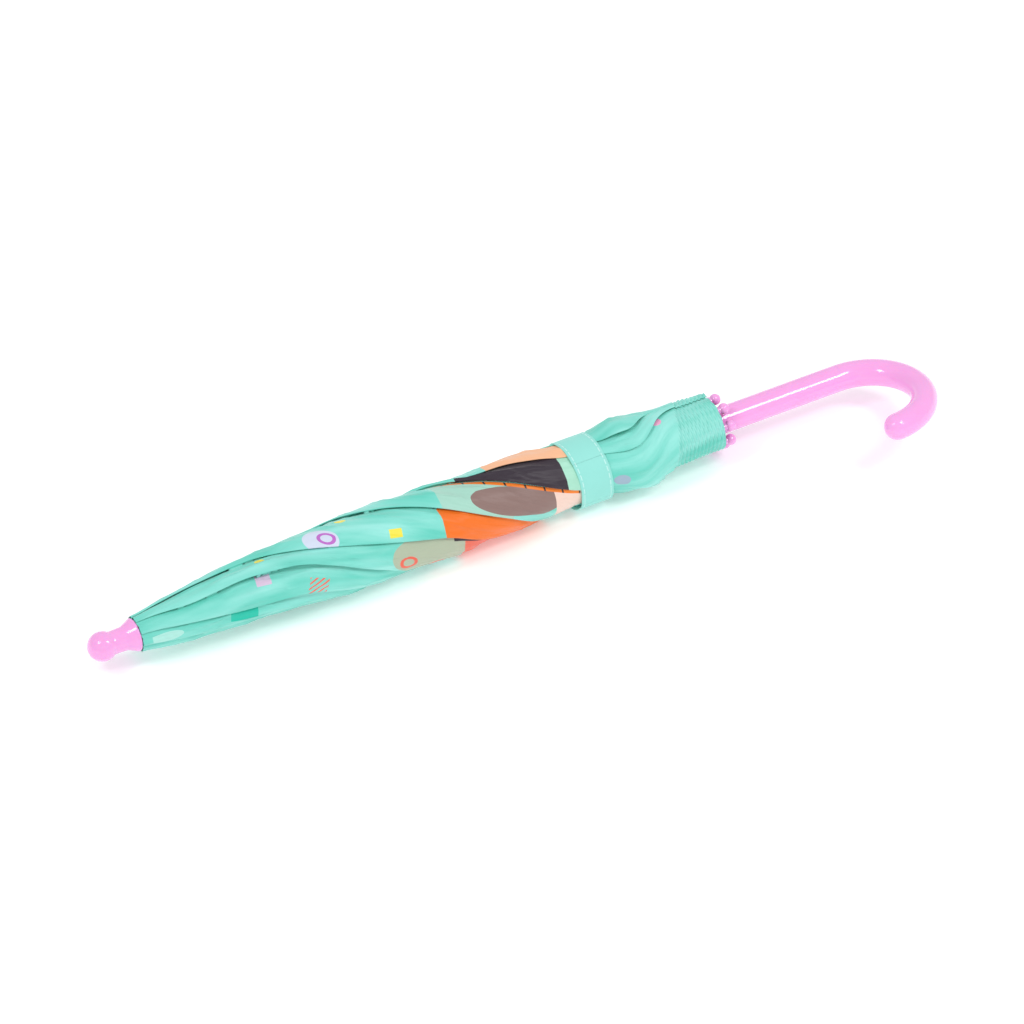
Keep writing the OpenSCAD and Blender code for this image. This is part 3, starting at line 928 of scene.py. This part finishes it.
def print_layers(tree, roll, flat, pleat):
    """What is printed on the cloth, and then the painted shade and highlight by the hems, as (mask, colour),
    in the order that it is laid on.
    """
    cells = add_node(
        tree, VORONOI, {"Vector": flat, "Scale": DISC_DENSITY, "Randomness": 0.7}, voronoi_dimensions="2D"
    )
    pick = add_node(tree, "ShaderNodeSeparateColor", {"Color": cells.outputs["Color"]})
    inside = add_node(tree, MATH, (cells, DISC_RADIUS), operation="LESS_THAN")
    hidden = add_node(tree, MATH, (pleat, HIDDEN_FROM), operation="GREATER_THAN")
    for low, high, tint in DISCS:
        yield overlap(tree, [inside, hidden] + between(tree, pick, low, high)), tint
    for kind, x, azimuth, half_x, half_y, turn, tint, on in PRINT:
        middle = (x * MM, math.radians(azimuth) * PRINT_RADIUS * MM, 0)
        at = add_node(
            tree, MAPPING, {"Vector": roll, "Location": middle, "Rotation": (0, 0, math.radians(turn))},
            vector_type="TEXTURE",
        )
        same = add_node(tree, MATH, (pleat, float(on), 0.5), operation="COMPARE")
        yield overlap(tree, [shape_mask(tree, kind, at, (half_x, half_y)), same]), tint
    parts = add_node(tree, SPLIT, {"Vector": flat}).outputs
    for on, x0, x1, low, high, tint, bar in LINES:
        masks = [add_node(tree, MATH, (pleat, float(on), 0.5), operation="COMPARE")]
        masks += between(tree, parts[0], x0 * MM, x1 * MM) + between(tree, parts[1], low * MM, high * MM)
        line = overlap(tree, masks)
        yield line, tint
        if bar:
            beat = parts[0]
            for operation, *value in (("DIVIDE", bar * MM), ("FRACT",), ("LESS_THAN", BAR_SHARE)):
                beat = add_node(tree, MATH, (beat, *value), operation=operation)
            yield overlap(tree, [line, beat]), BAR_COLOUR
    # Painted shade below each hem and painted highlight on its turned edge
    painted_hem_shade = add_node(tree, ATTRIBUTE, attribute_name="painted_hem_shade").outputs["Fac"]
    for strength, tint in PAINTED_HEM_SHADES:
        shade = add_node(tree, MATH, (painted_hem_shade, strength), operation="MULTIPLY")
        yield add_node(tree, MATH, (shade, 0.0), operation="MAXIMUM"), tint


def printed_polyester(ground):
    """Printed polyester pongee, plain woven: matt, slightly sheer, with crisp flat colours."""
    material, tree = new_material("printed_polyester_pongee")
    roll = add_node(tree, UV_MAP, uv_map="roll")
    flat = add_node(tree, UV_MAP, uv_map="flat")
    pleat = add_node(tree, ATTRIBUTE, attribute_name="pleat").outputs["Fac"]
    # Painted shade and painted light: the ground goes deeper and paler in streaks along the pleats
    along = add_node(tree, MAPPING, {"Vector": flat, "Scale": (13.0, 75.0, 1.0)})
    painted_streak = add_node(tree, NOISE, {"Vector": along, "Scale": 1.0, "Detail": 2.0})
    share = add_node(tree, MAP_RANGE, {"Value": painted_streak, "From Min": 0.34, "From Max": 0.68})
    deep, pale = toned(ground, 0.6, 0.85, 0.8), toned(ground, 1.55, 1.08, 1.12)
    colour = add_node(tree, MIX, {"Factor": share, "A": deep, "B": pale}, data_type="RGBA")
    for mask, tint in print_layers(tree, roll, flat, pleat):
        colour = add_node(tree, MIX, {"Factor": mask, "A": colour, "B": linear(tint)}, data_type="RGBA")
    finish_material(tree, {
        "Base Color": colour, "Normal": weave_bump(tree, flat, 0.8), "Roughness": 0.46, "IOR": 1.46,
        "Specular IOR Level": 0.5, "Sheen Weight": 0.25, "Sheen Roughness": 0.45,
    })
    return material


THREAD_MM = 0.55


def weave_bump(tree, flat, crease):
    """Plain weave with creases. Its threads are drawn 0.55 mm apart, because the real 0.2 mm is too
    fine to show."""
    parts = add_node(tree, SPLIT, {"Vector": flat}).outputs
    ribs = []
    for height in parts[:2]:
        for operation, *value in (("MULTIPLY", math.pi / (THREAD_MM * MM)), ("SINE",), ("ABSOLUTE",)):
            height = add_node(tree, MATH, (height, *value), operation=operation)
        ribs.append(height)
    threads = add_node(tree, MATH, ribs, operation="MULTIPLY")
    crumple = add_node(tree, NOISE, {"Vector": flat, "Scale": 150.0, "Detail": 3.0})
    drawn_out = add_node(tree, MAPPING, {"Vector": flat, "Scale": (17.0, 120.0, 1.0)})
    creases = add_node(tree, NOISE, {"Vector": drawn_out, "Scale": 1.0, "Detail": 3.0})
    under = {}
    for height, strength, deep in ((threads, 0.12, 0.1), (crumple, 0.3, 0.8), (creases, crease, 3.0)):
        bump = add_node(tree, BUMP, {"Height": height, "Strength": strength, "Distance": deep * MM, **under})
        under = {"Normal": bump}
    return bump


def strap_polyester(colour):
    """Plain polyester strap, doubled and topstitched: matt cloth with a row of stitches at each edge."""
    material, tree = new_material("topstitched_polyester_strap")
    flat = add_node(tree, UV_MAP, uv_map="flat")
    dash, line = add_node(tree, SPLIT, {"Vector": flat}).outputs[:2]
    edge = sizes().strap_width / 2 - sizes().seam_inset
    for operation, *value in (("ABSOLUTE",), ("SUBTRACT", edge), ("ABSOLUTE",), ("LESS_THAN", 0.32 * MM)):
        line = add_node(tree, MATH, (line, *value), operation=operation)
    for operation, *value in (("DIVIDE", 2.6 * MM), ("FRACT",), ("LESS_THAN", 0.72)):
        dash = add_node(tree, MATH, (dash, *value), operation=operation)
    blotch = add_node(tree, NOISE, {"Vector": flat, "Scale": 60.0, "Detail": 3.0})
    ground = {"Factor": blotch, "A": toned(colour, 0.93, 0.93, 0.93), "B": colour}
    stitched = {"Factor": overlap(tree, [line, dash]), "B": linear("#C9F4EE")}
    stitched["A"] = add_node(tree, MIX, ground, data_type="RGBA")
    finish_material(tree, {
        "Base Color": add_node(tree, MIX, stitched, data_type="RGBA"),
        "Normal": weave_bump(tree, flat, 0.12), "Roughness": 0.6, "IOR": 1.46,
        "Specular IOR Level": 0.35, "Sheen Weight": 0.2, "Sheen Roughness": 0.4,
    })
    return material


def hook_and_loop(colour):
    """Nylon hook-and-loop tape: a bright, rough pile that scatters light."""
    material, tree = new_material("woven_nylon_hook_and_loop")
    flat = add_node(tree, UV_MAP, uv_map="flat")
    pile = add_node(tree, VORONOI, {"Vector": flat, "Scale": 1 / (0.9 * MM)})
    bump = add_node(tree, BUMP, {"Height": pile, "Strength": 0.8, "Distance": 0.3 * MM})
    finish_material(tree, {"Base Color": colour, "Normal": bump, "Roughness": 0.85, "Sheen Weight": 0.5})
    return material


def opal_acrylic(colour):
    """Opal acrylic sheet, matt and softly lit from below: pale, with only a short soft shadow."""
    material, tree = new_material("matt_opal_acrylic")
    place_in = add_node(tree, COORDINATES).outputs["Object"]
    grain = add_node(tree, NOISE, {"Vector": place_in, "Scale": 300.0})
    bump = add_node(tree, BUMP, {"Height": grain, "Strength": 0.02, "Distance": 0.1 * MM})
    finish_material(tree, {
        "Base Color": colour, "Normal": bump, "Roughness": 0.8, "Emission Color": colour,
        "Emission Strength": 0.2,
    })
    return material


# ---------------------------------------------------------------------------------------
# Operators
# ---------------------------------------------------------------------------------------


def node_names(*starts):
    """Names of the CAD nodes that begin with any of the words."""
    return [n for n in frame["nodes"] if n.startswith(starts)]


class UMBRELLA_OT_finishes(bpy.types.Operator):
    """Give the shaft, ribs, handle and moulded parts their finishes"""

    bl_idname = "umbrella.finishes"
    bl_label = "Frame finishes"

    def execute(self, context):
        pink = moulded_plastic("moulded_pink_polypropylene", tuple(colours().pink), 0.14)
        white = moulded_plastic("moulded_white_acetal", tuple(colours().white), 0.35)
        steel = nickel_plated_steel(tuple(colours().steel))
        groups = (
            (pink, node_names("ferrule", "handle", "tip_")),
            (white, ["notch", "top_washer", "runner"]),
            (steel, ["shaft", "notch_wire", "runner_wire", "stop_pin", "lower_catch", "upper_catch"]
             + node_names("rib_", "pivot_", "stretcher_")),
        )
        for material, names in groups:
            for name in names:
                obj = frame["nodes"][name]
                obj.data.materials.clear()
                obj.data.materials.append(material)
        make_ferrule(pink)
        return {"FINISHED"}


def ferrule_profile():
    """Outline of the ferrule as (along, radius) in mm: ball, waist, neck and flared collar."""
    low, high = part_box("ferrule")
    back = (np.array([high[0], NOTCH[1], NOTCH[2]]) - NOTCH) @ ALONG / MM
    ball_r, neck_r, collar_r = 10.5, 8.3, 11.9
    ball_x = (np.array([low[0], NOTCH[1], NOTCH[2]]) - NOTCH) @ ALONG / MM + ball_r
    joint = 180 - math.degrees(math.asin((neck_r + 0.35) / ball_r))
    points = [
        (ball_x - ball_r * math.cos(math.radians(a)), ball_r * math.sin(math.radians(a)))
        for a in np.linspace(0, joint, 30)
    ]
    waist = points[-1][0]
    points += [(waist + 0.9, neck_r + 0.08), (waist + 1.9, neck_r), (waist + 5, neck_r)]
    points += [(back - 9.6, neck_r + 0.1)]
    flare, rise = back - 8.6, collar_r - neck_r - 0.3
    steps = (0, 0.12, 0.3, 0.5, 0.7, 0.88, 0.97)
    points += [(flare + 7.2 * t, neck_r + 0.3 + rise * t**1.15) for t in steps]
    points += [
        (back - 1.1, collar_r), (back - 0.5, collar_r - 0.1), (back - 0.1, collar_r - 0.5),
        (back, collar_r - 1.4), (back, 4.1),
    ]
    return points


def make_ferrule(material):
    """The moulded ferrule, turned from its outline, with a faint parting line round the ball."""
    outline = ferrule_profile()
    turns = np.arange(0, 360, 3.75)
    co, n = [], len(turns)
    for x, r in outline[1:]:
        for turn in turns:
            seam = 0.05 * math.exp(-((((turn + 90) % 180) - 90) / 2.5) ** 2)
            co.append(place(x, turn, r + seam))
    faces = ring_faces(len(outline) - 1, n)
    pole = len(co)
    co.append(place(outline[0][0], 0, 0))
    faces += [(pole, c, (c + 1) % n) for c in range(n)]
    obj = new_object("ferrule_moulding", co, faces, material)
    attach(obj, "root")
    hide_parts("ferrule")


class UMBRELLA_OT_canopy(bpy.types.Operator):
    """Roll the eight gores of the canopy round the closed ribs"""

    bl_idname = "umbrella.canopy"
    bl_label = "Rolled canopy"

    def execute(self, context):
        make_gores(printed_polyester(tuple(colours().cloth)))
        return {"FINISHED"}


class UMBRELLA_OT_strap(bpy.types.Operator):
    """Wind the closing strap round the rolled canopy"""

    bl_idname = "umbrella.strap"
    bl_label = "Closing strap"

    def execute(self, context):
        make_strap(strap_polyester(tuple(colours().strap)), hook_and_loop(tuple(colours().pad)))
        return {"FINISHED"}


FLOOR_REACH = 12.0
WORLD_LIGHT = 0.7
# Softboxes: place in metres, size in metres and power in watts
SOFTBOXES = (
    ("left_softbox", (-1.1, -0.1, 1.52), (0.4, 0.5), 6.4),
    ("right_softbox", (0.8, -0.72, 1.52), (0.36, 0.6), 8.4),
)
# A long lens, far off: its direction, its distance in metres and its focal length in mm
VIEW_AZIMUTH, VIEW_ELEVATION = math.radians(-28.487), math.radians(41.911)
VIEW_DISTANCE, LENS = 6.2074, 316.4
# The ball's middle before the notch, the middle of the view past the ball, and how far the view
# then moves right and up, in mm
BALL_BEFORE, MIDDLE_PAST_BALL, MOVE_RIGHT, MOVE_UP = 32, (336, 0, 5.19), -18.06, -19.97


class UMBRELLA_OT_stage(bpy.types.Operator):
    """Add the floor, the studio lights and the camera"""

    bl_idname = "umbrella.stage"
    bl_label = "Stage"

    def execute(self, context):
        self.add_floor()
        self.add_lights(context.scene)
        self.add_camera(context.scene)
        return {"FINISHED"}

    def add_floor(self):
        corners = [(x * FLOOR_REACH, y * FLOOR_REACH, 0) for x, y in ((-1, -1), (1, -1), (1, 1), (-1, 1))]
        floor = new_object("floor", corners, [(0, 1, 2, 3)], opal_acrylic(tuple(colours().floor)))

    def add_lights(self, scene):
        world = bpy.data.worlds.new("studio")
        world.use_nodes = True
        background = world.node_tree.nodes["Background"]
        background.inputs["Color"].default_value = linear("#FFFFFF")
        background.inputs["Strength"].default_value = WORLD_LIGHT
        scene.world = world
        scene.view_settings.view_transform = "Standard"
        for name, place_at, size, power in SOFTBOXES:
            data = bpy.data.lights.new(name, "AREA")
            data.shape = "RECTANGLE"
            data.size, data.size_y = size
            data.energy = power
            light = bpy.data.objects.new(name, data)
            light.location = place_at
            light.rotation_euler = (-Vector(place_at)).to_track_quat("-Z", "Y").to_euler()
            scene.collection.objects.link(light)

    def add_camera(self, scene):
        az, el = VIEW_AZIMUTH, VIEW_ELEVATION
        back = Vector((math.sin(az) * math.cos(el), -math.cos(az) * math.cos(el), math.sin(el)))
        right = Vector((math.cos(az), math.sin(az), 0))
        up = back.cross(right)
        ball = Vector(NOTCH) - Vector(ALONG) * BALL_BEFORE * MM
        aim = ball + Vector(MIDDLE_PAST_BALL) * MM + right * MOVE_RIGHT * MM + up * MOVE_UP * MM
        data = bpy.data.cameras.new("camera")
        data.lens = LENS
        data.sensor_width = 36
        data.clip_end = 50
        camera = bpy.data.objects.new("camera", data)
        turn = Matrix((right, up, back)).transposed().to_4x4()
        camera.matrix_world = Matrix.Translation(aim + back * VIEW_DISTANCE) @ turn
        scene.collection.objects.link(camera)
        bpy.context.scene.camera = camera


class UMBRELLA_PT_panel(bpy.types.Panel):
    """Lists the umbrella's steps in the sidebar"""

    bl_label = "Umbrella"
    bl_idname = "UMBRELLA_PT_panel"
    bl_space_type = "VIEW_3D"
    bl_region_type = "UI"
    bl_category = "Umbrella"

    def draw(self, context):
        for operator in OPERATORS:
            self.layout.operator(operator.bl_idname)
        for group in (context.scene.umbrella_sizes, context.scene.umbrella_colours):
            box = self.layout.box()
            for name in group.__annotations__:
                box.prop(group, name)


OPERATORS = (UMBRELLA_OT_stage, UMBRELLA_OT_finishes, UMBRELLA_OT_canopy, UMBRELLA_OT_strap)
CLASSES = (UmbrellaSizes, UmbrellaColours) + OPERATORS + (UMBRELLA_PT_panel,)


def register():
    for cls in CLASSES:
        bpy.utils.register_class(cls)
    bpy.types.Scene.umbrella_sizes = bpy.props.PointerProperty(type=UmbrellaSizes)
    bpy.types.Scene.umbrella_colours = bpy.props.PointerProperty(type=UmbrellaColours)


def unregister():
    del bpy.types.Scene.umbrella_colours
    del bpy.types.Scene.umbrella_sizes
    for cls in reversed(CLASSES):
        bpy.utils.unregister_class(cls)


def main():
    """Builds everything in order."""
    register()
    bpy.ops.umbrella.stage()
    bpy.ops.umbrella.finishes()
    bpy.ops.umbrella.canopy()
    bpy.ops.umbrella.strap()
    bpy.context.view_layer.update()


if __name__ == "__main__":
    main()
